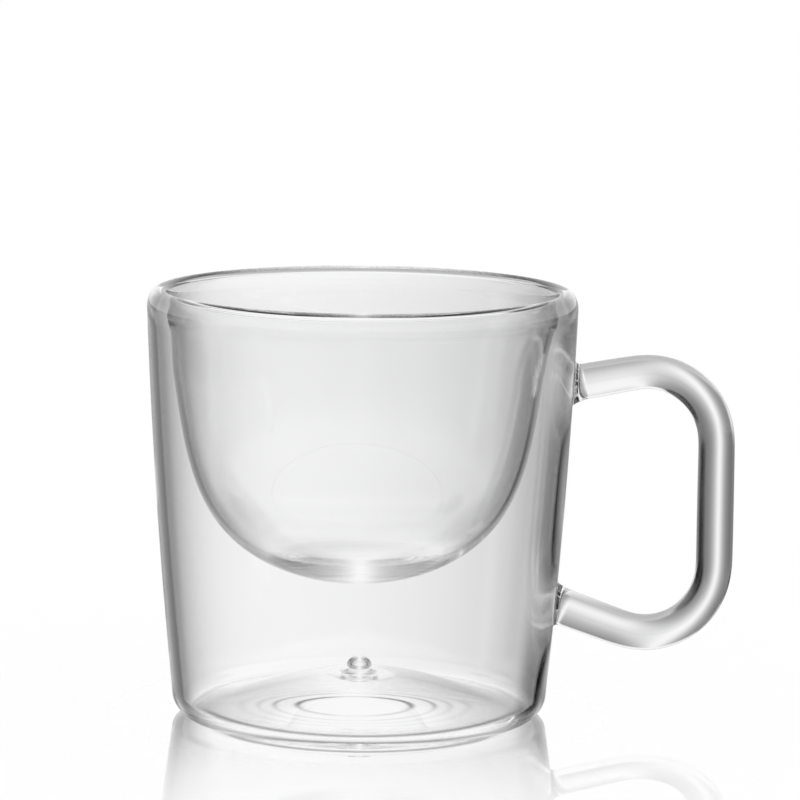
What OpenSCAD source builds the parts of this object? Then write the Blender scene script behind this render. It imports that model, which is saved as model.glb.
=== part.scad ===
// Double walled glass cup with a rod handle.
// A blown inner bowl hangs inside an outer wall; the two are fused at the rim and the base closes
// the outer wall, so a sealed layer of air lies between them. A solid glass rod is the handle.
// Origin: on the cup's axis, on the table. +Z is up and the handle lies along +X. Millimetres.

/* [Overall] */
// Height from the table to the crest of the rim
cup_h = 90.8; // [80:0.2:110]
// Largest diameter, at the shoulder of the rim
rim_d = 90.6; // [84:0.2:104]
// Diameter of the outer wall where the heel begins
heel_d = 79.4; // [72:0.2:84]

/* [Outer wall] */
// How far the wall swells past a straight cone at half height
wall_bow = 0.65; // [0:0.05:2]
// Thickness of the wall at the rim
wall_t = 1.7; // [1.2:0.1:2.6]
// Thickness of the wall at the foot
wall_foot_t = 2.2; // [1.4:0.1:3]

/* [Inner bowl] */
// Width of the air gap between the two walls where they join the rim
air_gap = 2.9; // [1.4:0.1:5]
// Side thickness of the bowl
bowl_t = 1.2; // [1:0.1:2.4]
// Thickness of the bowl's bottom on the axis
bowl_bottom_t = 4.2; // [2:0.1:6]
// Distance from the axis at which the bottom has thinned out most of the way to the side's thickness
bottom_r = 16; // [8:0.5:20]
// How sharply it thins there: 2 is a bell, higher is a flat disc with an edge
bottom_edge = 2.7; // [2:0.1:5]
// Depth inside, from the crest of the rim to the bowl's floor
bowl_depth = 58; // [45:0.1:70]
// Angle at which the bowl's side leans in
bowl_draft = 7.7; // [3:0.1:12]
// How square the bowl's bottom is: 2 is an ellipse, higher is squarer
bowl_squareness = 5; // [3:0.1:8]

/* [Fused rim] */
// How far the crest of the rim lies inside its largest circle
crest_inset = 2.7; // [1.6:0.1:3.2]
// Height of the fused ring, from where the two walls join it to the crest
bead_h = 6.2; // [5.4:0.1:9]
// Height of the rounded outer shoulder
shoulder_h = 3.6; // [2:0.1:5]
// Height of the rounded inner lip
lip_h = 4.2; // [2:0.1:5]
// Height of the arch that closes the air gap from above
arch_h = 4.8; // [1:0.1:5.2]

/* [Base] */
// Thickness of the base
base_t = 2; // [1.6:0.1:3.6]
// Radius of the heel between the wall and the table
heel_r = 5; // [3:0.1:6.4]
// Width of the flat ring that the cup stands on
foot_w = 1.6; // [1:0.1:4]
// How far the underside rises at the middle
punt_h = 7; // [2:0.1:8]
// Radius of the round corner between the floor and the wall, inside
corner_r = 3.2; // [2.4:0.1:5]
// How far the base's side rises past the heel and that corner, to where the outer wall stands on it
base_lip = 2.8; // [0.4:0.1:4]

/* [Vent seal] */
// Diameter of the vent hole through the base
vent_d = 3; // [2:0.1:4]
// Diameter of the glass drop that closes the vent
drop_d = 5.2; // [4.4:0.1:6.4]
// Height of the drop's neck above the floor
drop_neck_h = 0.9; // [0.6:0.1:2]
// How far the neck is drawn in under the drop's round end, all round
drop_neck_inset = 0.6; // [0.2:0.1:0.9]
// Roundness of the drop's underside between the neck and its widest circle
drop_belly_h = 0.8; // [0.4:0.1:1.6]
// Height of the drop's round end, from its widest circle to its top
drop_end_h = 2; // [1:0.1:3]
// How far the drop's foot spreads on the floor past its round end, all round
drop_foot_flare = 2; // [0.6:0.1:2.6]
// Thickness of that foot at its edge
drop_foot_t = 0.2; // [0.1:0.1:0.4]
// How far the flat land round the vent reaches past the drop's foot
land_margin = 2.2; // [0.4:0.1:4]

/* [Handle] */
// Diameter of the glass rod
rod_d = 7.6; // [5:0.1:10]
// Distance from the rim's largest circle out to the middle of the upright leg
leg_reach = 29.9; // [22:0.1:38]
// How far the top of the rod's middle line lies below the crest of the rim
arch_drop = 17; // [12:0.1:24]
// Height of the lowest point of the rod's middle line
arch_low_z = 17.9; // [14:0.1:26]
// Radius of the upper bend, at the rod's middle line
upper_bend_r = 14.9; // [9:0.1:20]
// Radius of the lower bend, at the rod's middle line
lower_bend_r = 14.8; // [9:0.1:20]
// Slope of the upper arm, falling towards the cup
upper_slope = 10.5; // [0:0.5:20]
// Slope of the lower arm, rising towards the cup
lower_slope = 20; // [0:0.5:30]

/* [Weld collars] */
// How far each collar stands out from the wall
collar_l = 2.5; // [1.5:0.1:4]
// How far each collar flares past the rod at the wall
collar_flare = 1.4; // [0.5:0.1:2.5]

/* [Hidden] */
$fn = 96;

clear_glass = [0.84, 0.88, 0.90, 0.45];
rim_glass = [0.70, 0.76, 0.79, 0.60];
rod_glass = [0.76, 0.81, 0.84, 0.60];
weld_glass = [0.62, 0.68, 0.72, 0.70];

seam_z = cup_h - bead_h;
shoulder_z = cup_h - shoulder_h;
lip_z = cup_h - lip_h;
rim_r = rim_d / 2;
crest_r = rim_r - crest_inset;
bowl_r = wall_in_r(seam_z) - air_gap;
bowl_in_r = bowl_r - bowl_t / cos(bowl_draft);
foot_r = heel_d / 2 - heel_r;
ring_r = foot_r - foot_w;
base_h = max(heel_r, base_t + corner_r) + base_lip;
drop_neck_r = drop_d / 2 - drop_neck_inset;
drop_foot_r = drop_d / 2 + drop_foot_flare;
land_r = drop_foot_r + land_margin;
rod_r = rod_d / 2;
leg_x = rim_r + leg_reach;
arch_top_z = cup_h - arch_drop;
bowl_drop = bowl_depth - bead_h + bowl_bottom_t;

function reversed(list) = [for (i = [len(list) - 1 : -1 : 0]) list[i]];
function tail(list) = [for (i = [1 : len(list) - 1]) list[i]];

// Radius of the outer wall at height z: a cone from the heel to the shoulder, swollen by wall_bow
function wall_share(z) = (z - heel_r) / (shoulder_z - heel_r);
function wall_r(z) =
  let (s = wall_share(z)) heel_d / 2 + (rim_r - heel_d / 2) * s + 4 * wall_bow * s * (1 - s);
function wall_thickness(z) = wall_foot_t + (wall_t - wall_foot_t) * wall_share(z);
function wall_in_r(z) = wall_r(z) - wall_thickness(z);

// Points of the wall between two heights, on the outside or the inside
wall_steps = 10;
function wall_line(z0, z1) =
  [for (i = [0 : wall_steps]) let (z = z0 + (z1 - z0) * i / wall_steps) [wall_r(z), z]];
function wall_in_line(z0, z1) =
  [for (i = [0 : wall_steps]) let (z = z0 + (z1 - z0) * i / wall_steps) [wall_in_r(z), z]];

// Half section of the bowl's outside below the seam: a leaning side run into a squared ellipse
bowl_steps = 28;
bowl_power = 2 / bowl_squareness;
bowl_angles = [for (i = [0 : bowl_steps]) 90 * i / bowl_steps];
function bowl_point(t) =
  let (d = bowl_drop * pow(sin(t), bowl_power)) [(bowl_r - d * tan(bowl_draft)) * cos(t), seam_z - d];

// Direction of that line towards the axis: its derivative, with the factor taken out that has no
// value at the seam
function bowl_way(t) =
  let (way = [
    -bowl_drop * bowl_power * cos(t) * cos(t) * tan(bowl_draft)
      - (bowl_r - bowl_drop * pow(sin(t), bowl_power) * tan(bowl_draft)) * pow(sin(t), 2 - bowl_power),
    -bowl_drop * bowl_power * cos(t)])
  way / norm(way);

// The inside lies one thickness in from the outside; the thickness swells towards the axis
function bowl_thickness(r) =
  bowl_t + (bowl_bottom_t - bowl_t) * exp(-pow(max(r, 0) / bottom_r, bottom_edge));
function bowl_in_point(t) =
  let (p = bowl_point(t), way = bowl_way(t))
    p + bowl_thickness(p[0]) * [way[1], -way[0]];

// Part of an ellipse about c, from angle a0 to a1
arc_steps = 12;
function ellipse_arc(c, rx, rz, a0, a1) =
  [for (i = [0 : arc_steps])
    let (a = a0 + (a1 - a0) * i / arc_steps) [c[0] + rx * cos(a), c[1] + rz * sin(a)]];

// The base's domed middle: it rises by punt_h from radius r1 at height z to a flat land at the vent
dome_steps = 20;
dome_edge = 1.5;
function dome_line(z, r1) =
  [for (i = [0 : dome_steps])
    let (
      r = land_r + (r1 - land_r) * i / dome_steps,
      fall = (r * r - land_r * land_r) / (r1 * r1 - land_r * land_r))
        [r, z + punt_h * pow(1 - min(fall, 1), dome_edge)]];

// Where the middle line of an arm meets the wall: one step from the wall at the arm's height
function arm_wall_x(x, z, slope) = wall_r(z + (x - wall_r(z)) * tan(slope));

module inner_bowl() {
  color(clear_glass) rotate_extrude()
    polygon(concat(
      [for (t = bowl_angles) bowl_point(t)],
      reversed([for (t = tail(bowl_angles)) bowl_in_point(t)]),
      [[bowl_in_r, seam_z]]));
}

module outer_wall() {
  color(clear_glass) rotate_extrude()
    polygon(concat(wall_line(base_h, seam_z), wall_in_line(seam_z, base_h)));
}

// The ring where both walls run together, with the arch over the air gap cut from below
module rim_bead() {
  lip_r = bowl_in_r + (lip_z - seam_z) * tan(bowl_draft);
  color(rim_glass) rotate_extrude()
    polygon(concat(
      [[wall_r(seam_z), seam_z]],
      ellipse_arc([crest_r, shoulder_z], rim_r - crest_r, shoulder_h, 0, 90),
      tail(ellipse_arc([crest_r, lip_z], crest_r - lip_r, lip_h, 90, 180)),
      [[bowl_in_r, seam_z]],
      ellipse_arc([bowl_r + air_gap / 2, seam_z], air_gap / 2, arch_h, 180, 0)));
}

module base() {
  corner_z = base_t + corner_r;
  floor_r = wall_in_r(corner_z) - corner_r;
  color(clear_glass) difference() {
    rotate_extrude()
      polygon(concat(
        [[0, punt_h]],
        dome_line(0, ring_r),
        ellipse_arc([foot_r, heel_r], heel_r, heel_r, -90, 0),
        [[wall_r(base_h), base_h], [wall_in_r(base_h), base_h]],
        ellipse_arc([floor_r, corner_z], corner_r, corner_r, 0, -90),
        tail(reversed(dome_line(base_t, floor_r))),
        [[0, punt_h + base_t]]));
    cylinder(d = vent_d, h = punt_h + 2 * base_t);
  }
}

// The drop fills the vent, spreads on the floor, narrows to a neck and ends as a round button
module vent_seal() {
  floor_z = punt_h + base_t;
  neck_z = floor_z + drop_neck_h;
  neck_angle = acos(2 * drop_neck_r / drop_d);
  end_z = neck_z + drop_belly_h * sin(neck_angle);
  color(weld_glass) rotate_extrude()
    polygon(concat(
      [[0, punt_h], [vent_d / 2, punt_h], [vent_d / 2, floor_z], [drop_foot_r, floor_z]],
      ellipse_arc(
        [drop_foot_r, neck_z], drop_foot_r - drop_neck_r, drop_neck_h - drop_foot_t, 270, 180),
      tail(ellipse_arc([0, end_z], drop_d / 2, drop_belly_h, -neck_angle, 0)),
      tail(ellipse_arc([0, end_z], drop_d / 2, drop_end_h, 0, 90))));
}

// Middle line of the handle, in the XZ plane
upper_c = [leg_x - upper_bend_r, arch_top_z - upper_bend_r];
lower_c = [leg_x - lower_bend_r, arch_low_z + lower_bend_r];
upper_start = upper_c + upper_bend_r * [-sin(upper_slope), cos(upper_slope)];
lower_start = lower_c + lower_bend_r * [-sin(lower_slope), -cos(lower_slope)];
upper_wall_x = arm_wall_x(upper_start[0], upper_start[1], -upper_slope);
lower_wall_x = arm_wall_x(lower_start[0], lower_start[1], lower_slope);
upper_arm_l = (upper_start[0] - upper_wall_x) / cos(upper_slope) - collar_l;
lower_arm_l = (lower_start[0] - lower_wall_x) / cos(lower_slope) - collar_l;

// Puts +Z of its children along the arm, from the arm's start at the bend towards the cup
module along_arm(start, lean) {
  translate([start[0], 0, start[1]]) rotate([0, -90 + lean, 0]) children();
}

// The rod is swept through rings: each is the middle line's point and the angle that faces out of
// the bend there
bend_steps = 20;
ring_sides = 32;
function bend_rings(c, r, a0, a1) =
  [for (i = [0 : bend_steps])
    let (a = a0 + (a1 - a0) * i / bend_steps) [c + r * [cos(a), sin(a)], a]];
rod_rings = concat(
  [[upper_start - upper_arm_l * [cos(upper_slope), sin(upper_slope)], 90 + upper_slope]],
  bend_rings(upper_c, upper_bend_r, 90 + upper_slope, 0),
  bend_rings(lower_c, lower_bend_r, 0, -90 - lower_slope),
  [[lower_start + lower_arm_l * [-cos(lower_slope), sin(lower_slope)], -90 - lower_slope]]);
function ring_points(ring) =
  [for (k = [0 : ring_sides - 1])
    let (b = 360 * k / ring_sides, out = rod_r * cos(b))
      [ring[0][0] + out * cos(ring[1]), rod_r * sin(b), ring[0][1] + out * sin(ring[1])]];
function ring_faces(i) =
  [for (k = [0 : ring_sides - 1])
    let (a = i * ring_sides + k, b = i * ring_sides + (k + 1) % ring_sides)
      each [[a, b, b + ring_sides], [a, b + ring_sides, a + ring_sides]]];

module handle_rod() {
  last = len(rod_rings) - 1;
  color(rod_glass) polyhedron(
    points = [for (ring = rod_rings) each ring_points(ring)],
    faces = concat(
      [reversed([for (k = [0 : ring_sides - 1]) k])],
      [for (i = [0 : last - 1]) each ring_faces(i)],
      [[for (k = [0 : ring_sides - 1]) last * ring_sides + k]]));
}

// Everything inside the wall's outer surface, which a collar is cut to fit
module wall_inside() {
  rotate_extrude()
    polygon(concat([[0, base_h]], wall_line(base_h, seam_z), [[0, seam_z]]));
}

// A flared collar of glass on the end of an arm, long enough to sink into the wall that trims it
module weld_collar(arm_l) {
  root_r = rod_r + collar_flare;
  sunk = 2 * wall_t;
  translate([0, 0, arm_l]) rotate_extrude()
    polygon(concat(
      [[0, 0]],
      [for (i = [0 : arc_steps]) let (a = 90 * i / arc_steps)
        [root_r - collar_flare * cos(a), collar_l * sin(a)]],
      [[root_r, collar_l + sunk], [0, collar_l + sunk]]));
}

module upper_weld_collar() {
  color(weld_glass) difference() {
    along_arm(upper_start, -upper_slope) weld_collar(upper_arm_l);
    wall_inside();
  }
}

module lower_weld_collar() {
  color(weld_glass) difference() {
    along_arm(lower_start, lower_slope) weld_collar(lower_arm_l);
    wall_inside();
  }
}

inner_bowl();
outer_wall();
rim_bead();
base();
vent_seal();
handle_rod();
upper_weld_collar();
lower_weld_collar();
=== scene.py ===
"""Double walled glass cup with a rod handle: the dressed model, its studio and its camera.

Sizes are in millimetres and become metres when a mesh is made. The cup's axis is Z, the table is
z = 0 and the handle lies along +X.
"""

from __future__ import annotations

import logging
import math
from dataclasses import dataclass
from enum import Enum

import bpy
import numpy as np
from mathutils import Matrix

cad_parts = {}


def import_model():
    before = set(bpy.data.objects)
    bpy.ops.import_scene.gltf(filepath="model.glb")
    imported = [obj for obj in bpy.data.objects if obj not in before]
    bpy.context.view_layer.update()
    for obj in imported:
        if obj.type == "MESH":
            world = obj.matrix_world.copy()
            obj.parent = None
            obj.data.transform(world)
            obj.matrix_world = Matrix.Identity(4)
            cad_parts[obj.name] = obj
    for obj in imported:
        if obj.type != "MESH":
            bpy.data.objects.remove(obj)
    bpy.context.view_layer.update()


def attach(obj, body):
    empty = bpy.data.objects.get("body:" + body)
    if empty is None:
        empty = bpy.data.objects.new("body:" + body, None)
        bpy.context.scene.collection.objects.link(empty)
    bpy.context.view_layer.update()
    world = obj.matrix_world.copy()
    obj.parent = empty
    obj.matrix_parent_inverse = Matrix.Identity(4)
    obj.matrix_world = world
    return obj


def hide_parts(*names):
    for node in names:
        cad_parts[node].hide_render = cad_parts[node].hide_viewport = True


LOG = logging.getLogger("glass_cup")
MM = 0.001
BODY = "root"
TINY = 1e-9
Pair = tuple[float, float]
Triple = tuple[float, float, float]
Quad = tuple[float, float, float, float]
Socket = bpy.types.NodeSocket


class Slot(Enum):
    """The record's material slots."""

    CLEAR = "clear_glass"
    ROD = "rod_glass"
    WELD = "weld_glass"


# Shader helpers


class Board:
    """A node tree with short ways to add, feed and link its nodes."""

    def __init__(self, tree: bpy.types.NodeTree) -> None:
        """Keeps the tree and empties it.

        Args:
            tree: The node tree of a material, a world or a group.
        """
        self.tree = tree
        tree.nodes.clear()

    def feed(self, socket: Socket, value: object) -> None:
        """Links an output into a socket, or sets the socket's own value.

        Args:
            socket: The input to feed.
            value: A node, an output, a number, a vector or a colour.
        """
        if isinstance(value, bpy.types.Node):
            value = value.outputs[0]
        if isinstance(value, Socket):
            self.tree.links.new(value, socket)
        else:
            socket.default_value = value

    def add(self, kind: str, inputs: dict | None = None, **settings: object) -> bpy.types.Node:
        """Adds a node, sets its own properties and feeds its inputs.

        Args:
            kind: The node's type name.
            inputs: What each input gets, by the input's name or number.
            settings: Properties of the node, by name.

        Returns:
            The new node.
        """
        node = self.tree.nodes.new(kind)
        for name, value in settings.items():
            setattr(node, name, value)
        for name, value in (inputs or {}).items():
            self.feed(node.inputs[name], value)
        return node

    def math(self, kind: str, *values: object) -> Socket:
        """Adds a Math node.

        Args:
            kind: The operation.
            values: Up to three numbers or output sockets.

        Returns:
            The node's output.
        """
        return self.add("ShaderNodeMath", dict(enumerate(values)), operation=kind).outputs[0]

    def vector(self, kind: str, *values: object) -> Socket:
        """Adds a Vector Math node.

        Args:
            kind: The operation.
            values: Vectors or output sockets.

        Returns:
            The node's output: a number from a length or a dot product, else a vector.
        """
        node = self.add("ShaderNodeVectorMath", dict(enumerate(values)), operation=kind)
        return node.outputs["Value" if kind in ("LENGTH", "DOT_PRODUCT") else "Vector"]

    def place(self, name: str) -> Socket:
        """Adds a Texture Coordinate node and gives one of its outputs."""
        return self.add("ShaderNodeTexCoord").outputs[name]

    def parts(self, vector: Socket) -> tuple[Socket, ...]:
        """Splits a vector into its X, Y and Z."""
        return tuple(self.add("ShaderNodeSeparateXYZ", {0: vector}).outputs)

    def ramp(self, value: object, start: float, end: float, low: float, high: float) -> Socket:
        """Adds a smooth step from low at start to high at end.

        Args:
            value: The number to read.
            start: Where the step begins.
            end: Where the step ends.
            low: The result before the step.
            high: The result after the step.

        Returns:
            The step's output.
        """
        numbers = dict(enumerate((value, start, end, low, high)))
        return self.add("ShaderNodeMapRange", numbers, interpolation_type="SMOOTHSTEP").outputs[0]

    def mix(self, share: object, first: object, second: object) -> Socket:
        """Mixes two numbers: first where share is 0, second where it is 1.

        Args:
            share: The share of the second number.
            first: The first number.
            second: The second number.

        Returns:
            The mixed number.
        """
        return self.add("ShaderNodeMix", {0: share, 2: first, 3: second}, data_type="FLOAT").outputs[0]

    def blend(self, share: object, first: bpy.types.Node, second: bpy.types.Node) -> bpy.types.Node:
        """Mixes two shaders.

        Args:
            share: The share of the second shader.
            first: The first shader's node.
            second: The second shader's node.

        Returns:
            The Mix Shader node.
        """
        return self.add("ShaderNodeMixShader", {0: share, 1: first, 2: second})

    def show(self, shader: bpy.types.Node, kind: str = "ShaderNodeOutputMaterial") -> None:
        """Adds the tree's output and feeds it a shader."""
        self.add(kind, {"Surface": shader})


def new_material(name: str) -> tuple[bpy.types.Material, Board]:
    """Makes a material that has nodes.

    Args:
        name: The material's name.

    Returns:
        The material, and the board of its nodes.
    """
    material = bpy.data.materials.new(name)
    material.use_nodes = True
    return material, Board(material.node_tree)


def stand(name: str, data: bpy.types.ID) -> bpy.types.Object:
    """Makes an object and links it to the scene.

    Args:
        name: The object's name.
        data: Its mesh or camera.

    Returns:
        The object, at the origin.
    """
    thing = bpy.data.objects.new(name, data)
    bpy.context.scene.collection.objects.link(thing)
    return thing


@dataclass(frozen=True)
class GlassFinish:
    """Polished borosilicate glass with the faint waves of glass that was worked in a flame."""

    name: str
    tint: Quad
    wave_per_metre: float
    wave_stretch: float
    wave_depth: float
    refraction: float = 1.47

    def build(self, waves: bpy.types.NodeTree) -> bpy.types.Material:
        """Makes the material.

        Args:
            waves: The node group that gives the height of the waves.

        Returns:
            The material.
        """
        material, board = new_material(self.name)
        wave = {
            "Place": board.place("Object"),
            "Waves per metre": self.wave_per_metre,
            "Stretch": self.wave_stretch,
        }
        bump = {
            "Height": board.add("ShaderNodeGroup", wave, node_tree=waves),
            "Strength": 1.0,
            "Distance": self.wave_depth * MM,
        }
        glass = {
            "Base Color": self.tint,
            "Metallic": 0.0,
            "Roughness": 0.0,
            "IOR": self.refraction,
            "Transmission Weight": 1.0,
            "Normal": board.add("ShaderNodeBump", bump),
        }
        board.show(board.add("ShaderNodeBsdfPrincipled", glass))
        return material


def make_waves() -> bpy.types.NodeTree:
    """Makes the node group of the glass's faint waves: noise drawn out along the cup's axis.

    Returns:
        The group, with the inputs Place, Waves per metre and Stretch and the output Height.
    """
    tree = bpy.data.node_groups.new("glass_waves", "ShaderNodeTree")
    board = Board(tree)
    for name, kind in (("Place", "Vector"), ("Waves per metre", "Float"), ("Stretch", "Float")):
        tree.interface.new_socket(name, in_out="INPUT", socket_type="NodeSocket" + kind)
    tree.interface.new_socket("Height", in_out="OUTPUT", socket_type="NodeSocketFloat")
    place, across, stretch = board.add("NodeGroupInput").outputs[:3]
    along = board.math("DIVIDE", across, stretch)
    scale = board.add("ShaderNodeCombineXYZ", {0: across, 1: across, 2: along})
    noise = {
        "Vector": board.vector("MULTIPLY", place, scale),
        "Scale": 1.0,
        "Detail": 1.0,
    }
    board.add("NodeGroupOutput", {"Height": board.add("ShaderNodeTexNoise", noise)})
    return tree


def make_seam() -> bpy.types.Material:
    """Makes the material of the fused faces, which light crosses as if they weren't there.

    Returns:
        The material.
    """
    material, board = new_material("fused_seam")
    board.show(board.add("ShaderNodeBsdfTransparent"))
    return material


# Curves and grids


def resample(line: np.ndarray, step: float) -> np.ndarray:
    """Spaces a line's points evenly along its length.

    Args:
        line: Points, one row each.
        step: The wanted spacing.

    Returns:
        The evenly spaced points, with both ends kept.
    """
    along = np.concatenate(([0.0], np.cumsum(np.linalg.norm(np.diff(line, axis=0), axis=1))))
    count = max(2, int(round(along[-1] / step)) + 1)
    wanted = np.linspace(0.0, along[-1], count)
    return np.stack([np.interp(wanted, along, line[:, k]) for k in range(line.shape[1])], axis=1)


def soften(line: np.ndarray, step: float, width: float) -> np.ndarray:
    """Rounds a line's kinks: each point becomes the bell weighted mean of those around it.

    Args:
        line: Points, one row each.
        step: The spacing of the result.
        width: The bell's standard deviation along the line.

    Returns:
        The rounded line, with both ends where they were.
    """
    even = resample(line, step)
    reach = min(len(even) - 1, int(3 * width / step))
    bell = np.exp(-0.5 * (np.arange(-reach, reach + 1) * step / width) ** 2)
    bell /= bell.sum()
    before = 2 * even[0] - even[reach:0:-1]
    after = 2 * even[-1] - even[-2 : -reach - 2 : -1]
    long = np.concatenate((before, even, after))
    return np.stack([np.convolve(long[:, k], bell, mode="valid") for k in range(line.shape[1])], axis=1)


def ellipse(centre: Pair, radii: Pair, start: float, end: float, count: int = 48) -> np.ndarray:
    """Points of part of an ellipse.

    Args:
        centre: Its centre.
        radii: Its two half axes.
        start: The first angle in degrees.
        end: The last angle in degrees.
        count: How many points.

    Returns:
        The points, one row each.
    """
    angle = np.radians(np.linspace(start, end, count))
    return np.array(centre) + np.array(radii) * np.stack((np.cos(angle), np.sin(angle)), axis=1)


def turn(profile: np.ndarray, sides: int) -> np.ndarray:
    """Turns a half section about the cup's axis.

    Args:
        profile: Points (r, z).
        sides: How many points each ring has.

    Returns:
        The rings, as an array of rings by sides by 3.
    """
    angle = np.linspace(0.0, 2 * np.pi, sides, endpoint=False)
    ring = np.stack((np.cos(angle), np.sin(angle)), axis=1)
    rows = np.empty((len(profile), sides, 3))
    rows[:, :, :2] = profile[:, None, :1] * ring[None]
    rows[:, :, 2] = profile[:, None, 1]
    return rows


@dataclass
class Skin:
    """A closed surface of rings: either a loop of rings, or rings that close on a point at each end.

    The faces between two rings face outwards when each ring turns to the right about the direction
    in which the rings follow each other.
    """

    name: str
    rows: np.ndarray
    seams: np.ndarray
    poles: tuple[np.ndarray, np.ndarray] | None = None

    def build(self, glass: bpy.types.Material, seam: bpy.types.Material) -> bpy.types.Object:
        """Makes the mesh object, with fused faces in the seam material and sharp edges round them.

        Args:
            glass: The material of the glass.
            seam: The material of the fused faces.

        Returns:
            The object, at the origin.
        """
        count, sides = self.rows.shape[:2]
        points = self.rows.reshape(-1, 3)
        index = np.arange(count * sides).reshape(count, sides)
        beside = np.roll(index, -1, axis=1)
        if self.poles is None:
            after, after_beside = np.roll(index, -1, axis=0), np.roll(beside, -1, axis=0)
        else:
            index, beside, after, after_beside = index[:-1], beside[:-1], index[1:], beside[1:]
        quads = np.stack((index, beside, after_beside, after), axis=2).reshape(-1, 4)
        faces = quads.tolist()
        marks = self.seams.reshape(-1)
        if self.poles is not None:
            points = np.concatenate((points, np.stack(self.poles)))
            first, last = np.arange(sides), (count - 1) * sides + np.arange(sides)
            low, high = count * sides, count * sides + 1
            start = np.stack((np.full(sides, low), np.roll(first, -1), first), axis=1)
            end = np.stack((last, np.roll(last, -1), np.full(sides, high)), axis=1)
            faces += start.tolist() + end.tolist()
            marks = self.seams[1:-1].reshape(-1)
            marks = np.concatenate((marks, self.seams[0], self.seams[-1]))
        mesh = bpy.data.meshes.new(self.name)
        mesh.from_pydata((points * MM).tolist(), [], faces)
        mesh.materials.append(glass)
        mesh.materials.append(seam)
        mesh.polygons.foreach_set("material_index", marks.astype(np.int32))
        mesh.polygons.foreach_set("use_smooth", np.ones(len(faces), dtype=bool))
        self.sharpen(mesh, marks)
        mesh.update()
        return stand(self.name, mesh)

    @staticmethod
    def sharpen(mesh: bpy.types.Mesh, marks: np.ndarray) -> None:
        """Marks the edges between glass and fused faces as sharp.

        Args:
            mesh: The mesh.
            marks: True for each fused face.
        """
        edges = np.empty(len(mesh.loops), dtype=np.int32)
        mesh.loops.foreach_get("edge_index", edges)
        totals = np.empty(len(mesh.polygons), dtype=np.int32)
        mesh.polygons.foreach_get("loop_total", totals)
        per_loop = np.repeat(marks.astype(np.int32), totals)
        fused = np.zeros(len(mesh.edges), dtype=np.int32)
        np.add.at(fused, edges, per_loop)
        mesh.edges.foreach_set("use_edge_sharp", fused == 1)


def dress(piece: bpy.types.Object, slot: Slot, *nodes: str) -> None:
    """Ties a piece to the frame and reports it.

    Args:
        piece: The finished object.
        slot: The record's material slot; not used.
        nodes: The CAD nodes that it stands for.
    """
    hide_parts(*nodes)
    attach(piece, BODY)
    LOG.info("%s: %d faces, for %s", piece.name, len(piece.data.polygons), ", ".join(nodes))


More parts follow.
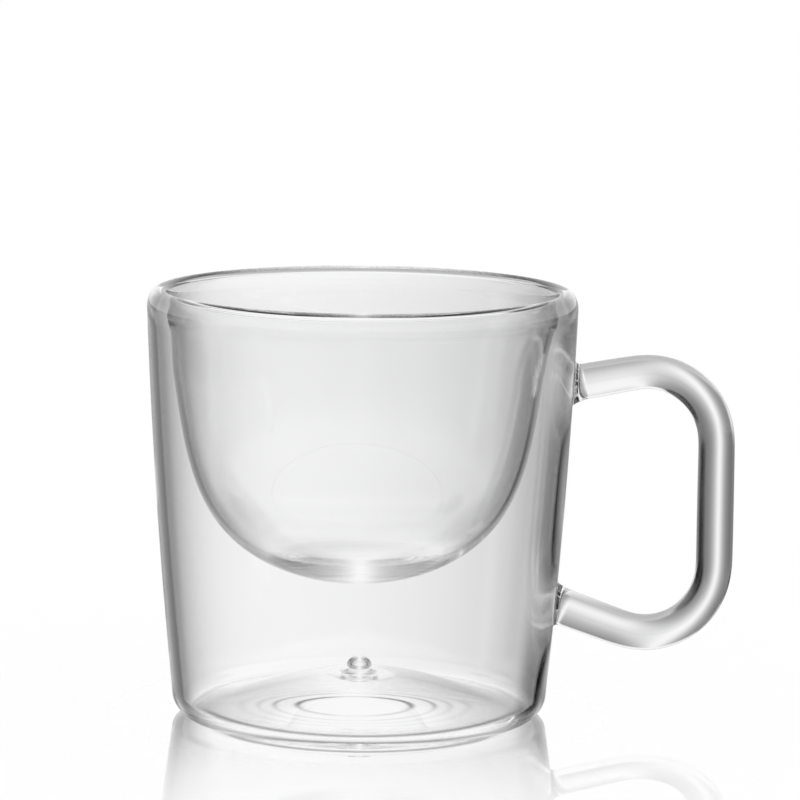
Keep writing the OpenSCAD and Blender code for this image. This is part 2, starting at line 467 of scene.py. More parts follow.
@dataclass
class CupBody:
    """The double walled body: base, outer wall, fused rim, inner bowl and vent seal.

    Two lines describe it: the skin, which runs from the vent under the base round the heel, up the
    wall, over the rim and down into the bowl, and the hollow's line, which runs from the vent over
    the base's floor, up inside the wall, over the arch and down round the bowl.
    """

    height: float = 90.8
    rim_r: float = 45.3
    heel_wall_r: float = 39.7
    heel_r: float = 5.0
    bow: float = 0.65
    wall: float = 1.7
    wall_foot: float = 2.2
    crest_inset: float = 2.7
    shoulder: float = 3.6
    lip: float = 4.2
    seam_drop: float = 6.2
    air_gap: float = 2.9
    arch: float = 4.8
    bowl_wall: float = 1.2
    bowl_bottom: float = 4.2
    bottom_r: float = 16.0
    bottom_edge: float = 2.7
    bowl_drop: float = 56.0
    bowl_lean: float = 7.7
    bowl_aside: float = -0.7
    bowl_square: float = 5.0
    base_top: float = 8.0
    base_wall: float = 2.0
    corner: float = 3.2
    foot_w: float = 1.6
    punt: float = 7.0
    land_r: float = 6.8
    dome_r: float = 34.0
    dome_edge: float = 1.5
    vent_r: float = 1.5
    drop_r: float = 2.6
    drop_tall: float = 3.4
    drop_end: float = 2.0
    drop_belly: float = 0.8
    drop_neck_r: float = 2.0
    drop_foot_r: float = 4.6
    drop_hole_r: float = 0.7
    drop_sides: int = 96
    drop_points: int = 24
    drop_step: float = 0.1
    aside_fall: float = 12.0
    bowl_points: int = 240
    bowl_grain: float = 0.3
    dome_points: int = 320
    wall_points: int = 160
    wall_clear: Pair = (0.4, 0.4)
    hollow_clear: Pair = (0.3, 0.1)
    sides: int = 384
    step: float = 0.12
    round_off: float = 0.5
    wall_step: float = 0.7
    rim_step: float = 0.25
    base_step: float = 0.45
    bowl_step: float = 0.75

    @property
    def seam_z(self) -> float:
        """Height of the seam under the rim."""
        return self.height - self.seam_drop

    @property
    def shoulder_z(self) -> float:
        """Height of the widest circle of the rim."""
        return self.height - self.shoulder

    def rise(self, z: np.ndarray | float) -> np.ndarray | float:
        """Share of the way from the heel up to the shoulder at height z."""
        return (z - self.heel_r) / (self.shoulder_z - self.heel_r)

    def wall_r(self, z: np.ndarray | float) -> np.ndarray | float:
        """Outer radius at height z: a straight cone from heel to shoulder plus a parabolic swell."""
        share, grown = self.rise(z), self.rim_r - self.heel_wall_r
        return self.heel_wall_r + grown * share + 4 * self.bow * share * (1 - share)

    def wall_in_r(self, z: np.ndarray | float) -> np.ndarray | float:
        """Inner radius of the outer wall, whose thickness falls evenly from foot to rim."""
        return self.wall_r(z) - self.wall_foot - (self.wall - self.wall_foot) * self.rise(z)

    def bowl_line(self) -> np.ndarray:
        """Half section of the bowl's outside: a leaning side run into a squared ellipse.

        Returns:
            Points from the seam down to the axis.
        """
        top_r = self.wall_in_r(self.seam_z) - self.air_gap
        angle = np.linspace(0.0, np.pi / 2, self.bowl_points)
        depth = self.bowl_drop * np.sin(angle) ** (2 / self.bowl_square)
        radius = (top_r - depth * math.tan(math.radians(self.bowl_lean))) * np.cos(angle)
        return np.stack((radius, self.seam_z - depth), axis=1)

    def bowl_inside(self) -> np.ndarray:
        """Half section of the bowl's inside, one thickness in from its outside.

        The thickness is even on the side and swells at the bottom as exp(-(r / bottom_r)^edge).

        Returns:
            Points from the seam down to the axis.
        """
        line = resample(self.bowl_line(), self.bowl_grain)
        way = np.gradient(line, axis=0)
        way /= np.linalg.norm(way, axis=1, keepdims=True)
        way[-1] = (-1.0, 0.0)
        swell = np.exp(-(np.maximum(line[:, 0] / self.bottom_r, 0.0) ** self.bottom_edge))
        thick = self.bowl_wall + (self.bowl_bottom - self.bowl_wall) * swell
        inside = line + thick[:, None] * np.stack((way[:, 1], -way[:, 0]), axis=1)
        inside[:, 0] = np.maximum(inside[:, 0], 0.0)
        return inside

    def dome(self, low: float, outer_r: float) -> np.ndarray:
        """The base's domed middle, which falls as (1 - s)^dome_edge from the flat land at the vent.

        The share s is that of the area between land_r and dome_r.

        Args:
            low: Its height round the dome.
            outer_r: Where it ends.

        Returns:
            Points from the vent outwards.
        """
        radius = np.linspace(self.vent_r, outer_r, self.dome_points)
        share = (radius**2 - self.land_r**2) / (self.dome_r**2 - self.land_r**2)
        z = low + self.punt * (1 - np.clip(share, 0, 1)) ** self.dome_edge
        return np.stack((radius, z), axis=1)

    def skin_line(self) -> np.ndarray:
        """Works out the outer line, from the vent under the base to the bowl's floor on the axis.

        Returns:
            Points (r, z).
        """
        foot_r = self.heel_wall_r - self.heel_r
        crest_r = self.rim_r - self.crest_inset
        lip_z = self.height - self.lip
        bowl = self.bowl_inside()
        lip_r = bowl[0, 0] + (lip_z - bowl[0, 1]) * math.tan(math.radians(self.bowl_lean))
        low, high = self.wall_clear
        up = np.linspace(self.heel_r + low, self.shoulder_z - high, self.wall_points)
        parts = (
            self.dome(0.0, foot_r - self.foot_w),
            ellipse((foot_r, self.heel_r), (self.heel_r, self.heel_r), -90, 0),
            np.stack((self.wall_r(up), up), axis=1),
            ellipse((crest_r, self.shoulder_z), (self.rim_r - crest_r, self.shoulder), 0, 90),
            ellipse((crest_r, lip_z), (crest_r - lip_r, self.lip), 91, 180),
            bowl,
        )
        return soften(np.concatenate(parts), self.step, self.round_off)

    def hollow_line(self) -> np.ndarray:
        """Works out the sealed hollow's line, from the vent on the base's floor to under the bowl.

        Returns:
            Points (r, z).
        """
        corner_z = self.base_wall + self.corner
        floor_r = self.wall_in_r(corner_z) - self.corner
        gap_out = self.wall_in_r(self.seam_z)
        low, high = self.hollow_clear
        up = np.linspace(corner_z + low, self.seam_z - high, self.wall_points)
        parts = (
            self.dome(self.base_wall, floor_r),
            ellipse((floor_r, corner_z), (self.corner, self.corner), -90, 0),
            np.stack((self.wall_in_r(up), up), axis=1),
            ellipse((gap_out - self.air_gap / 2, self.seam_z), (self.air_gap / 2, self.arch), 0, 180),
            self.bowl_line(),
        )
        return soften(np.concatenate(parts), self.step, self.round_off)

    @staticmethod
    def cut(line: np.ndarray, start: int, end: int, step: float) -> np.ndarray:
        """Part of a line between two of its points, evenly spaced."""
        return resample(line[start : end + 1], step)

    def marks(self, line: np.ndarray) -> tuple[int, int, int]:
        """Finds where a line crosses the base's top, the seam on the wall and the seam on the bowl.

        Args:
            line: The skin's or the hollow's line.

        Returns:
            The numbers of the three points.
        """
        rising = np.flatnonzero((line[:-1, 1] < self.seam_z) & (line[1:, 1] >= self.seam_z))[0]
        falling = np.flatnonzero((line[:-1, 1] > self.seam_z) & (line[1:, 1] <= self.seam_z))[0]
        wall = line[: rising + 1]
        base = np.flatnonzero((wall[:-1, 1] < self.base_top) & (wall[1:, 1] >= self.base_top))[-1]
        return int(base), int(rising), int(falling)

    def skins(self) -> dict[str, Skin]:
        """Works out the surfaces of all five pieces.

        Returns:
            The surfaces by piece name.
        """
        skin, hollow = self.skin_line(), self.hollow_line()
        s_base, s_wall, s_bowl = self.marks(skin)
        h_base, h_wall, h_bowl = self.marks(hollow)
        rings = (
            ("outer_wall", "wall_skin", (s_base, s_wall), (h_base, h_wall), self.wall_step),
            ("rim_bead", "rim_skin", (s_wall, s_bowl), (h_wall, h_bowl), self.rim_step),
            ("base", "base_skin", (0, s_base), (0, h_base), self.base_step),
        )
        found = {}
        for node, name, skin_ends, hollow_ends, step in rings:
            outside = self.cut(skin, *skin_ends, step)
            inside = self.cut(hollow, *hollow_ends, step)
            found[node] = self.loop(name, outside, inside[::-1])
        self.seat_drop(found["base"])
        outside = self.cut(hollow, h_bowl, len(hollow) - 1, self.bowl_step)
        inside = self.cut(skin, s_bowl, len(skin) - 1, self.bowl_step)
        found["inner_bowl"] = self.lens("bowl_skin", outside[::-1], inside)
        self.hang_aside(found["inner_bowl"])
        return found

    def seat_drop(self, base: Skin) -> None:
        """Marks the floor under the drop as fused: the rings from the drop's foot to the vent."""
        beyond = np.flatnonzero(base.rows[:, 0, 0] >= self.drop_foot_r)[-1]
        base.seams[beyond + 1 :] = True

    def hang_aside(self, bowl: Skin) -> None:
        """Moves the bowl a little off the cup's axis below its seam, along a smooth step.

        Args:
            bowl: The bowl's surface.
        """
        fall = np.clip((self.seam_z - bowl.rows[:, :, 2]) / self.aside_fall, 0, 1)
        bowl.rows[:, :, 0] += self.bowl_aside * fall**2 * (3 - 2 * fall)
        for pole in bowl.poles:
            pole[0] += self.bowl_aside

    def loop(self, name: str, outside: np.ndarray, inside: np.ndarray) -> Skin:
        """A ring shaped piece between two parts of the lines, with a seam from one to the other.

        Args:
            name: The piece's name.
            outside: Points going up.
            inside: Points going down.

        Returns:
            The closed surface.
        """
        rows = turn(np.concatenate((outside, inside)), self.sides)
        seams = np.zeros(rows.shape[:2], dtype=bool)
        seams[len(outside) - 1] = True
        seams[-1] = True
        return Skin(name, rows, seams)

    def lens(self, name: str, outside: np.ndarray, inside: np.ndarray) -> Skin:
        """A bowl shaped piece that closes on the axis, with its seam at the top.

        Args:
            name: The piece's name.
            outside: Points from the axis up.
            inside: Points from the seam down to the axis.

        Returns:
            The closed surface.
        """
        profile = np.concatenate((outside[1:], inside[:-1]))
        rows = turn(profile, self.sides)
        seams = np.zeros((len(profile) + 1, self.sides), dtype=bool)
        seams[len(outside) - 1] = True
        poles = (np.array((0.0, 0.0, outside[0, 1])), np.array((0.0, 0.0, inside[-1, 1])))
        return Skin(name, rows, seams, poles)

    def vent_seal(self) -> Skin:
        """The drop: it fills the vent, spreads on the floor, narrows to a neck and ends as a button.

        Returns:
            The closed surface.
        """
        floor = self.base_wall + self.punt
        waist = floor + self.drop_tall - self.drop_end
        angle = math.degrees(math.acos(self.drop_neck_r / self.drop_r))
        bottom = np.array(((self.drop_hole_r, self.punt), (self.vent_r, self.punt)))
        plug = np.array(((self.vent_r, floor),))
        belly = ellipse((0.0, waist), (self.drop_r, self.drop_belly), -angle, 0, self.drop_points)
        end = ellipse((0.0, waist), (self.drop_r, self.drop_end), 0, 90)
        neck_z = belly[0, 1]
        sweep = (self.drop_foot_r - self.drop_neck_r, neck_z - floor)
        flare = ellipse((self.drop_foot_r, neck_z), sweep, 270, 180, self.drop_points)
        free = soften(np.concatenate((flare, belly[1:], end[1:])), self.drop_step / 2, self.drop_step)
        profile = np.concatenate((bottom, plug, resample(free, self.drop_step)[:-1]))
        rows = turn(profile, self.drop_sides)
        seams = np.zeros((len(profile) + 1, self.drop_sides), dtype=bool)
        seams[2:4] = True
        poles = (np.array((0.0, 0.0, self.punt)), np.array((0.0, 0.0, free[-1, 1])))
        return Skin("drop_skin", rows, seams, poles)


@dataclass
class Handle:
    """The bent glass rod and the flared welds on its two ends."""

    cup: CupBody
    rod_r: float = 3.8
    leg_x: float = 75.2
    top_z: float = 73.8
    low_z: float = 17.9
    upper_bend: float = 14.9
    lower_bend: float = 14.8
    upper_slope: float = 10.5
    lower_slope: float = 20.0
    collar: float = 2.5
    flare: float = 1.05
    flare_way: Pair = (1.3, 0.7)
    pull: float = 0.8
    pull_width: float = 9.0
    uneven: tuple[Triple, ...] = (
        (0.13, 0.08, -0.2),
        (0.5, 0.16, 0.08),
        (1.0, 0.12, 0.2),
    )
    leg_in: float = 0.1
    leg_bow: Pair = (0.15, 0.2)
    bow_z: float = 45.0
    bow_half: float = 14.0
    step: float = 0.5
    round_off: float = 1.5
    sides: int = 96
    meet_steps: int = 12
    weld_rings: int = 25
    weld_arrive: float = 1.2
    weld_seams: Triple = (0.25, 0.5, 0.75)
    patch: int = 12
    patch_core: int = 7

    def bends(self) -> tuple[Pair, Pair]:
        """The middles of the upper and the lower bend, as (x, z)."""
        upper = (self.leg_x - self.upper_bend, self.top_z - self.upper_bend)
        return upper, (self.leg_x - self.lower_bend, self.low_z + self.lower_bend)

    def arms(self) -> tuple[tuple[np.ndarray, np.ndarray], ...]:
        """Works out the straight arms, which slope from the bends to the cup.

        Returns:
            For the upper and the lower arm, where it starts at its bend and its way to the cup.
        """
        radii = (self.upper_bend, self.lower_bend)
        slopes = np.radians((self.upper_slope, self.lower_slope))
        arms = []
        for middle, radius, slope, up in zip(self.bends(), radii, slopes, (1, -1)):
            sin, cos = math.sin(slope), math.cos(slope)
            start = np.array(middle) + radius * np.array((-sin, up * cos))
            arms.append((start, np.array((-cos, -up * sin))))
        return tuple(arms)

    def to_wall(self, start: np.ndarray, way: np.ndarray) -> np.ndarray:
        """Finds where an arm's middle line meets the wall, step by step.

        Args:
            start: Where the arm starts, as (x, z).
            way: Its way to the cup.

        Returns:
            The meeting point (x, z).
        """
        length = 0.0
        for _ in range(self.meet_steps):
            here = start + way * length
            length += (here[0] - self.cup.wall_r(here[1])) / abs(way[0])
        return start + way * length

    def path(self) -> np.ndarray:
        """The rod's middle line: straight arms, round bends and a leg that bows in at both ends.

        The leg moves in by leg_in, and by a parabola of the height from bow_z, which grows to
        leg_bow at bow_half above and below it.

        Returns:
            Points (x, z) from the upper weld to the lower one.
        """
        (upper_start, upper_way), (lower_start, lower_way) = self.arms()
        upper_end = self.to_wall(upper_start, upper_way) - upper_way * self.collar
        lower_end = self.to_wall(lower_start, lower_way) - lower_way * self.collar
        upper_c, lower_c = self.bends()
        parts = (
            np.array((upper_end, upper_start)),
            ellipse(upper_c, (self.upper_bend,) * 2, 90 + self.upper_slope, 0),
            ellipse(lower_c, (self.lower_bend,) * 2, 0, -90 - self.lower_slope),
            np.array((lower_start, lower_end)),
        )
        line = np.concatenate([resample(part, self.step) for part in parts])
        share = np.clip((line[:, 1] - self.bow_z) / self.bow_half, -1, 1)
        sag = np.where(share > 0, self.leg_bow[0], self.leg_bow[1]) * share**2
        bend = np.clip((line[:, 0] - self.leg_x + self.upper_bend) / self.upper_bend, 0, 1)
        line[:, 0] -= (self.leg_in + sag) * bend
        return soften(line, self.step, self.round_off)

    def frames(self, path: np.ndarray) -> tuple[np.ndarray, np.ndarray]:
        """Works out a path's ways, and the normals that make its rings turn to the right.

        Args:
            path: Points (x, z).

        Returns:
            The ways and the normals, one row each.
        """
        way = np.gradient(path, axis=0)
        way /= np.linalg.norm(way, axis=1, keepdims=True)
        along = np.stack((way[:, 0], np.zeros(len(way)), way[:, 1]), axis=1)
        side = np.cross(along, np.array((0.0, 1.0, 0.0)))
        return along, side

    def ring(self, centre: np.ndarray, side: np.ndarray, radius: float) -> np.ndarray:
        """A circle about centre, spanned by +Y and side."""
        angle = np.linspace(0.0, 2 * np.pi, self.sides, endpoint=False)[:, None]
        return centre + radius * (np.cos(angle) * np.array((0.0, 1.0, 0.0)) + np.sin(angle) * side)

    def girth(self, share: np.ndarray | float) -> np.ndarray | float:
        """The rod's radius at a share of its length: rod_r with a bell for each uneven place."""
        bells = (change * np.exp(-(((share - at) / width) ** 2)) for at, width, change in self.uneven)
        return self.rod_r + sum(bells)

    def rod(self) -> Skin:
        """The rod: circles along the middle line, thinner in the upper arm and thicker in the leg.

        Returns:
            The closed surface.
        """
        path = self.path()
        along, side = self.frames(path)
        centre = np.stack((path[:, 0], np.zeros(len(path)), path[:, 1]), axis=1)
        share = np.linspace(0.0, 1.0, len(path))
        rows = np.stack([self.ring(c, s, r) for c, s, r in zip(centre, side, self.girth(share))])
        seams = np.zeros((len(rows) + 1, self.sides), dtype=bool)
        seams[0] = seams[-1] = True
        return Skin("rod_skin", rows, seams, (centre[0], centre[-1]))

    def wall_point(self, across: np.ndarray, up: np.ndarray, z: float) -> np.ndarray:
        """Points of the wall's outside near the handle.

        Args:
            across: Distances along the wall's circle from the handle's plane.
            up: Heights above z.
            z: The height that the circle's radius is taken at.

        Returns:
            The points, with a last axis of 3.
        """
        height = z + up
        angle = across / self.cup.wall_r(z)
        radius = self.cup.wall_r(height)
        return np.stack((radius * np.cos(angle), radius * np.sin(angle), height), axis=-1)

    def weld(self, name: str, upper: bool) -> Skin:
        """A flared weld: from a circle on the wall it draws in to the rod's end.

        The side is a cubic between the two rings that leaves the wall along its face and reaches
        the rod along the arm.

        Args:
            name: The piece's name.
            upper: Whether it is the upper weld.

        Returns:
            The closed surface.
        """
        meet = self.to_wall(*self.arms()[0 if upper else 1])
        path = self.path()
        along, side = self.frames(path)
        end, sign = (0, 1) if upper else (-1, -1)
        centre = np.array((path[end, 0], 0.0, path[end, 1]))
        out, across = along[end] * sign, side[end] * sign
        angle = np.linspace(0.0, 2 * np.pi, self.sides, endpoint=False)
        root = self.rod_r + self.flare
        cos, sin = np.cos(angle), np.sin(angle) * np.sign(across[2])
        on_wall = self.wall_point(root * cos, root * sin, meet[1])
        middle = self.wall_point(np.zeros(1), np.zeros(1), meet[1])[0]
        rod_end = self.ring(centre, across, self.girth(0.0 if upper else 1.0))
        leave = (middle - on_wall) / root * self.flare * self.flare_way[0] + out * self.flare_way[1]
        arrive = np.broadcast_to(out * self.collar * self.weld_arrive, rod_end.shape)
        t = np.linspace(0.0, 1.0, self.weld_rings)[:, None, None]
        side_rows = (
            (2 * t**3 - 3 * t**2 + 1) * on_wall
            + (t**3 - 2 * t**2 + t) * leave
            + (3 * t**2 - 2 * t**3) * rod_end
            + (t**3 - t**2) * arrive
        )
        share = np.array(self.weld_seams)[:, None] * root
        inner = self.wall_point(share * cos, share * sin, meet[1])
        rows = np.concatenate((inner, side_rows))
        seams = np.zeros((len(rows) + 1, self.sides), dtype=bool)
        seams[: len(inner) + 1] = True
        seams[-1] = True
        return Skin(name, rows, seams, (middle, centre))

    def pull_wall(self, skin: Skin, outside: int) -> None:
        """Draws the wall's inside out towards each weld, where the hot glass was pulled.

        Args:
            skin: The wall's surface.
            outside: How many of its rings are on the outside.
        """
        inner = skin.rows[outside:]
        bearing = np.arctan2(inner[:, :, 1], inner[:, :, 0])
        radius = np.hypot(inner[:, :, 0], inner[:, :, 1])
        for arm in self.arms():
            z = self.to_wall(*arm)[1]
            squared = (bearing * radius) ** 2 + (inner[:, :, 2] - z) ** 2
            grown = 1 + self.pull * np.exp(-squared / self.pull_width**2) / radius
            inner[:, :, :2] *= grown[:, :, None]

    def open_wall(self, skin: Skin, outside: int) -> None:
        """Draws the wall's grid into a circle round each weld and marks the fused faces in it.

        Inside a square patch of the grid, rings of squares become rings of circles up to the weld's
        edge, and from there they turn back into squares.

        Args:
            skin: The wall's surface.
            outside: How many of its rings are on the outside.
        """
        sides = skin.rows.shape[1]
        for arm in self.arms():
            z = self.to_wall(*arm)[1]
            heights = skin.rows[:outside, 0, 2]
            row = int(np.argmin(np.abs(heights - z)))
            half = heights[row + self.patch] - heights[row]
            steps = np.arange(-self.patch, self.patch + 1)
            down, over = np.meshgrid(steps, steps, indexing="ij")
            square = np.maximum(np.abs(down), np.abs(over)) / self.patch
            core = self.patch_core / self.patch
            angle = np.arctan2(down, over)
            circle = (self.rod_r + self.flare) / half
            safe = np.maximum(square, TINY)
            radial = np.where(square <= core, circle * square / core, circle)
            fade = np.clip((square - core) / (1 - core), 0, 1)
            across_unit = 2 * np.pi * self.cup.wall_r(z) / sides * self.patch / half
            x = (1 - fade) * radial * np.cos(angle) + fade * over / self.patch / safe * across_unit
            y = (1 - fade) * radial * np.sin(angle) + fade * down / self.patch / safe
            drift = (heights[row] - z) * fade
            columns = over % sides
            skin.rows[row + down, columns] = self.wall_point(x * half, y * half + drift, z)
            fused = steps[:-1][np.abs(steps[:-1] + 0.5) < self.patch_core]
            rows, columns = np.meshgrid(fused + row, fused % sides, indexing="ij")
            skin.seams[rows, columns] = True


@dataclass
class Studio:
    """The camera, the plain white floor with its soft mirror and the painted light and shade that glass
    sees on it, and the ring of soft light.

    Bearings are in degrees from the direction behind the cup, to the right. A flag is a bearing, a
    height, and the angles within which it is black and beyond which it ends. A ring is a painted dark
    ring on the floor: a radius, a half width and a depth.
    """

    distance: float = 940.4
    eye_height: float = 203.2
    pitch: float = 0.1437
    roll: float = 0.010
    lens: float = 202.97
    sensor: float = 36.0
    shift: float = 0.04775
    clip: Pair = (0.01, 20.0)
    window: Pair = (-2.0, 9.5)
    side_window: Pair = (-90.0, 5.0)
    window_light: float = 0.94
    gloom: float = 0.1
    front_gloom: float = 0.25
    canopy_turn: float = 6.0
    canopy_side: Pair = (42.0, 66.0)
    canopy_up: Pair = (8.0, 20.0)
    overhead: Pair = (30.0, 42.0)
    flags: tuple[Quad, ...] = (
        (42.0, 25.0, 15.0, 22.0),
        (-66.0, 40.0, 6.0, 10.0),
        (-62.0, 0.0, 7.0, 11.0),
    )
    even: float = 1.12
    floor_r: float = 3000.0
    floor_sides: int = 128
    floor_white: float = 0.95
    shade: float = 0.35
    mirror: float = 0.8
    mirror_tilt: float = 3.5
    mirror_start: float = 35.0
    mirror_length: float = 37.0
    floor_grey: float = 0.33
    # painted pool of light: the floor that glass sees glows paler under the cup
    painted_pool_grey: float = 0.95
    grey_r: Pair = (36.0, 55.0)
    under_mirror: float = 0.1
    under_r: Pair = (20.0, 32.0)
    steep_mirror: float = 0.15
    grazing: Pair = (0.2, 0.72)
    # painted shadow rings: dark rings on the floor under the base, which glass sees
    rings: tuple[Triple, ...] = (
        (12.2, 0.8, 1.0),
        (17.2, 0.6, 0.6),
        (20.6, 0.7, 0.35),
        (24.5, 0.9, 0.35),
    )
    ring_place: Triple = (-0.9, 4.7, 0.0)
    ring_least: float = 0.35
    ring_behind: Pair = (-6.0, 3.0)
    ring_beside: Pair = (1.0, 7.0)
    # painted contact shadow: a dark ring on the floor round the foot, on its near side, which glass sees
    painted_contact_shadow: Triple = (33.0, 1.6, 0.75)
    painted_contact_shadow_front: Pair = (4.0, -14.0)
    bounces: int = 68

    def camera(self) -> None:
        """Makes the camera at the photograph's place, pitched down and rolled a little."""
        data = bpy.data.cameras.new("camera")
        data.lens = self.lens
        data.sensor_width = self.sensor
        data.shift_x = self.shift
        data.clip_start, data.clip_end = self.clip
        eye = stand("camera", data)
        place = Matrix.Translation((0.0, -self.distance * MM, self.eye_height * MM))
        tilt = Matrix.Rotation(math.pi / 2 - self.pitch, 4, "X")
        eye.matrix_world = place @ tilt @ Matrix.Rotation(self.roll, 4, "Z")
        bpy.context.scene.camera = eye

    @staticmethod
    def aside(board: Board, bearing: Socket, middle: float) -> Socket:
        """How many degrees a bearing is away from a middle one, the shorter way round."""
        turned = board.math("WRAP", board.math("SUBTRACT", bearing, middle), 180.0, -180.0)
        return board.math("ABSOLUTE", turned)

    def pane(self, board: Board, bearing: Socket, place: Pair) -> Socket:
        """Light of an upright soft window, which is 1 / (1 + (angle from it / half width)^2).

        Args:
            board: The world's nodes.
            bearing: The bearing in degrees.
            place: The window's bearing and its half width, in degrees.

        Returns:
            The light, 1 at most.
        """
        away = board.math("DIVIDE", self.aside(board, bearing, place[0]), place[1])
        return board.math("DIVIDE", 1.0, board.math("MULTIPLY_ADD", away, away, 1.0))

    @staticmethod
    def screen(board: Board, flag: Quad) -> Socket:
        """Share of the light that a round black screen lets through.

        Args:
            board: The world's nodes.
            flag: The bearing and the height of its middle, and where it is full and where it ends.

        Returns:
            The share: 0 behind the screen, 1 away from it.
        """
        bearing, rise = (math.radians(angle) for angle in flag[:2])
        level = math.cos(rise)
        aim = (level * math.sin(bearing), level * math.cos(bearing), math.sin(rise))
        cosine = board.vector("DOT_PRODUCT", board.place("Generated"), aim)
        away = board.math("DEGREES", board.math("ARCCOSINE", cosine))
        return board.ramp(away, *flag[2:], 0.0, 1.0)

    def world(self) -> None:
        """Makes the light: a window behind the cup, one at its side, and a canopy in front and above.

        The canopy lies above canopy_up in front of the canopy_side bearings and above overhead
        everywhere. Near the horizon there is gloom between the windows, and the flags are black.
        The camera and the floor's mirror see plain white, and matt surfaces an even light.
        """
        world = bpy.data.worlds.new("studio")
        bpy.context.scene.world = world
        world.use_nodes = True
        board = Board(world.node_tree)
        east, north, up = board.parts(board.place("Generated"))
        bearing = board.math("DEGREES", board.math("ARCTAN2", east, north))
        rise = board.math("DEGREES", board.math("ARCSINE", up))
        front = board.ramp(self.aside(board, bearing, self.canopy_turn), *self.canopy_side, 0.0, 1.0)
        canopy = board.math("MULTIPLY", front, board.ramp(rise, *self.canopy_up, 0.0, 1.0))
        bright = board.math("MAXIMUM", canopy, board.ramp(rise, *self.overhead, 0.0, 1.0))
        for place in (self.window, self.side_window):
            shine = board.math("MULTIPLY", self.pane(board, bearing, place), self.window_light)
            bright = board.math("MAXIMUM", bright, shine)
        studio = board.mix(bright, board.mix(front, self.gloom, self.front_gloom), 1.0)
        for flag in self.flags:
            studio = board.math("MULTIPLY", studio, self.screen(board, flag))
        path = board.add("ShaderNodeLightPath").outputs
        once = board.math("COMPARE", path["Glossy Depth"], 1.0, 0.1)
        outside = board.math("LESS_THAN", path["Transmission Depth"], 0.5)
        plain = board.math("MAXIMUM", path["Is Camera Ray"], board.math("MULTIPLY", once, outside))
        seen = board.mix(plain, studio, 1.0)
        matt = board.math("GREATER_THAN", path["Diffuse Depth"], 0.5)
        light = {"Color": board.mix(matt, seen, self.even), "Strength": 1.0}
        board.show(board.add("ShaderNodeBackground", light), "ShaderNodeOutputWorld")

    @staticmethod
    def painted_shade_ring(board: Board, away: Socket, ring: Triple, share: Socket) -> Socket:
        """Share of light left by a painted dark ring whose section is a bell: 1 - depth share exp(-x^2).

        Args:
            board: The floor's nodes.
            away: The distance from the ring's middle, in metres.
            ring: Its radius and half width in millimetres, and its depth.
            share: How much of the ring is there.

        Returns:
            The share of light, 1 away from the ring.
        """
        radius, width, depth = ring
        shift = board.math("DIVIDE", board.math("SUBTRACT", away, radius * MM), width * MM)
        bell = board.math("EXPONENT", board.math("MULTIPLY", board.math("MULTIPLY", shift, shift), -1.0))
        dark = board.math("MULTIPLY", board.math("MULTIPLY", bell, share), depth)
        return board.math("SUBTRACT", 1.0, dark)

    def painted_caustic_shade(self, board: Board) -> Socket:
        """Share of light on the table under the cup, with painted dark rings for the shade that its base
        throws.

        The rings are deeper behind and beside their middle, and no reflection shows them.

        Args:
            board: The floor's nodes.

        Returns:
            The share, 1 away from the rings.
        """
        middle = tuple(part * MM for part in self.ring_place)
        place = board.vector("SUBTRACT", board.place("Object"), middle)
        east, north, _ = board.parts(place)
        away = board.vector("LENGTH", place)
        near, far = (part * MM for part in self.ring_behind)
        behind = board.ramp(north, near, far, self.ring_least, 1.0)
        near, far = (part * MM for part in self.ring_beside)
        beside = board.ramp(board.math("ABSOLUTE", east), near, far, self.ring_least, 1.0)
        direct = board.math("LESS_THAN", board.add("ShaderNodeLightPath").outputs["Glossy Depth"], 0.5)
        there = board.math("MULTIPLY", board.math("MULTIPLY", behind, beside), direct)
        # painted shade: each dark ring is multiplied into the floor's glow
        share = 1.0
        for ring in self.rings:
            share = board.math("MULTIPLY", share, self.painted_shade_ring(board, away, ring, there))
        return share

    def white_floor(self, board: Board) -> bpy.types.Node:
        """What the camera sees: a white floor whose mirror fades with the distance from the cup.

        Args:
            board: The floor's nodes.

        Returns:
            The shader's node.
        """
        away = board.math("SUBTRACT", board.vector("LENGTH", board.place("Object")), self.mirror_start * MM)
        fall = board.math("DIVIDE", board.math("MAXIMUM", away, 0.0), -self.mirror_length * MM)
        glow = board.add("ShaderNodeEmission", {"Strength": 1.0})
        matt = board.add("ShaderNodeBsdfDiffuse", {"Color": (*(self.floor_white,) * 3, 1.0)})
        tilt = math.radians(self.mirror_tilt)
        lean = board.add("ShaderNodeCombineXYZ", {1: -math.sin(tilt), 2: math.cos(tilt)})
        mirror = {"Color": (1.0, 1.0, 1.0, 1.0), "Roughness": 0.0, "Normal": lean}
        share = board.math("MULTIPLY", board.math("EXPONENT", fall), self.mirror)
        pale = board.blend(self.shade, glow, matt)
        return board.blend(share, pale, board.add("ShaderNodeBsdfGlossy", mirror))

    def grey_floor(self, board: Board) -> bpy.types.Node:
        """What glass sees: a glowing grey that mirrors more at grazing angles, with a painted pool of light
        under the cup, a painted contact shadow round the foot and painted shadow rings under the base.

        Args:
            board: The floor's nodes.

        Returns:
            The shader's node.
        """
        away = board.vector("LENGTH", board.place("Object"))
        # painted contact shadow: darkens the floor's glow in a ring round the foot, on the near side
        start, end = (part * MM for part in self.painted_contact_shadow_front)
        front = board.ramp(board.parts(board.place("Object"))[1], start, end, 0.0, 1.0)
        painted_contact_shade = self.painted_shade_ring(board, away, self.painted_contact_shadow, front)
        # painted pool of light under the cup, then dimmed by the painted contact shadow and the painted
        # shadow rings
        start, end = (radius * MM for radius in self.grey_r)
        pale = board.math("MULTIPLY", board.ramp(away, start, end, self.painted_pool_grey, self.floor_grey), painted_contact_shade)
        pale = board.math("MULTIPLY", pale, self.painted_caustic_shade(board))
        dim = board.add("ShaderNodeEmission", {"Strength": pale})
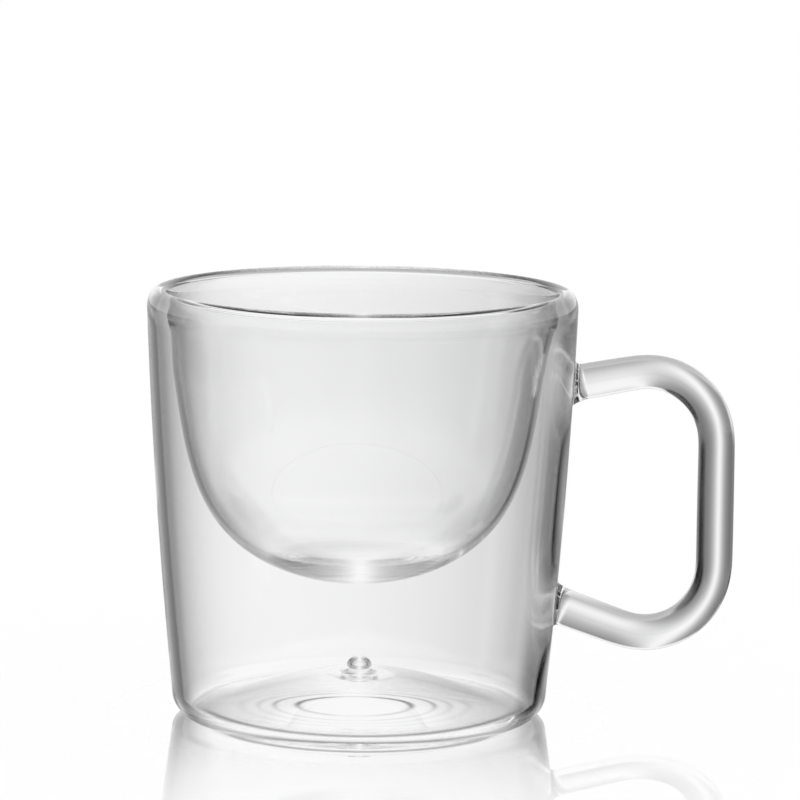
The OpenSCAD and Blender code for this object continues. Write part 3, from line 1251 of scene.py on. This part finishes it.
        # the mirror's colour is dimmed by the painted contact shadow too
        level = board.add("ShaderNodeBsdfGlossy", {"Color": painted_contact_shade, "Roughness": 0.0})
        facing = board.add("ShaderNodeLayerWeight").outputs["Facing"]
        start, end = (radius * MM for radius in self.under_r)
        beyond = board.ramp(away, start, end, self.under_mirror, 1.0)
        share = board.math("MULTIPLY", beyond, board.ramp(facing, *self.grazing, self.steep_mirror, 1.0))
        return board.blend(share, dim, level)

    def floor(self) -> None:
        """Makes the floor: the camera sees it white, its mirror leaning a little, and glass grey with
        painted light and shade under the cup.
        """
        angle = np.linspace(0.0, 2 * np.pi, self.floor_sides, endpoint=False)
        points = np.stack((np.cos(angle), np.sin(angle), 0 * angle), axis=1) * self.floor_r * MM
        mesh = bpy.data.meshes.new("floor")
        mesh.from_pydata(points.tolist(), [], [list(range(self.floor_sides))])
        material, board = new_material("white_floor")
        camera = board.add("ShaderNodeLightPath").outputs["Is Camera Ray"]
        board.show(board.blend(camera, self.grey_floor(board), self.white_floor(board)))
        mesh.materials.append(material)
        stand("floor", mesh)

    def paths(self) -> None:
        """Lets light cross the many faces of the two walls."""
        cycles = bpy.context.scene.cycles
        cycles.max_bounces = self.bounces
        cycles.transmission_bounces = self.bounces
        cycles.glossy_bounces = self.bounces
        cycles.transparent_max_bounces = self.bounces
        cycles.blur_glossy = 0.0


FINISHES = {
    Slot.CLEAR: GlassFinish("clear_glass", (0.996, 0.997, 0.997, 1.0), 60.0, 4.0, 0.004),
    Slot.ROD: GlassFinish("rod_glass", (0.99, 0.992, 0.992, 1.0), 90.0, 2.0, 0.006),
    Slot.WELD: GlassFinish("weld_glass", (0.99, 0.992, 0.992, 1.0), 300.0, 1.0, 0.003),
}


def main() -> None:
    """Builds the cup in its studio, piece by piece."""
    logging.basicConfig(level=logging.INFO, format="%(name)s: %(message)s")
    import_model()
    studio = Studio()
    studio.camera()
    studio.world()
    studio.floor()
    studio.paths()
    bpy.context.scene.view_settings.view_transform = "Standard"
    waves, seam = make_waves(), make_seam()
    glass = {slot: finish.build(waves) for slot, finish in FINISHES.items()}
    cup = CupBody()
    handle = Handle(cup)
    skins = cup.skins()
    outside = int(np.argmax(skins["outer_wall"].rows[:, 0, 2])) + 1
    handle.open_wall(skins["outer_wall"], outside)
    handle.pull_wall(skins["outer_wall"], outside)
    for node, skin in skins.items():
        dress(skin.build(glass[Slot.CLEAR], seam), Slot.CLEAR, node)
    dress(cup.vent_seal().build(glass[Slot.WELD], seam), Slot.WELD, "vent_seal")
    dress(handle.rod().build(glass[Slot.ROD], seam), Slot.ROD, "handle_rod")
    for node, upper in (("upper_weld_collar", True), ("lower_weld_collar", False)):
        collar = handle.weld(node.replace("collar", "skin"), upper)
        dress(collar.build(glass[Slot.WELD], seam), Slot.WELD, node)


if __name__ == "__main__":
    main()
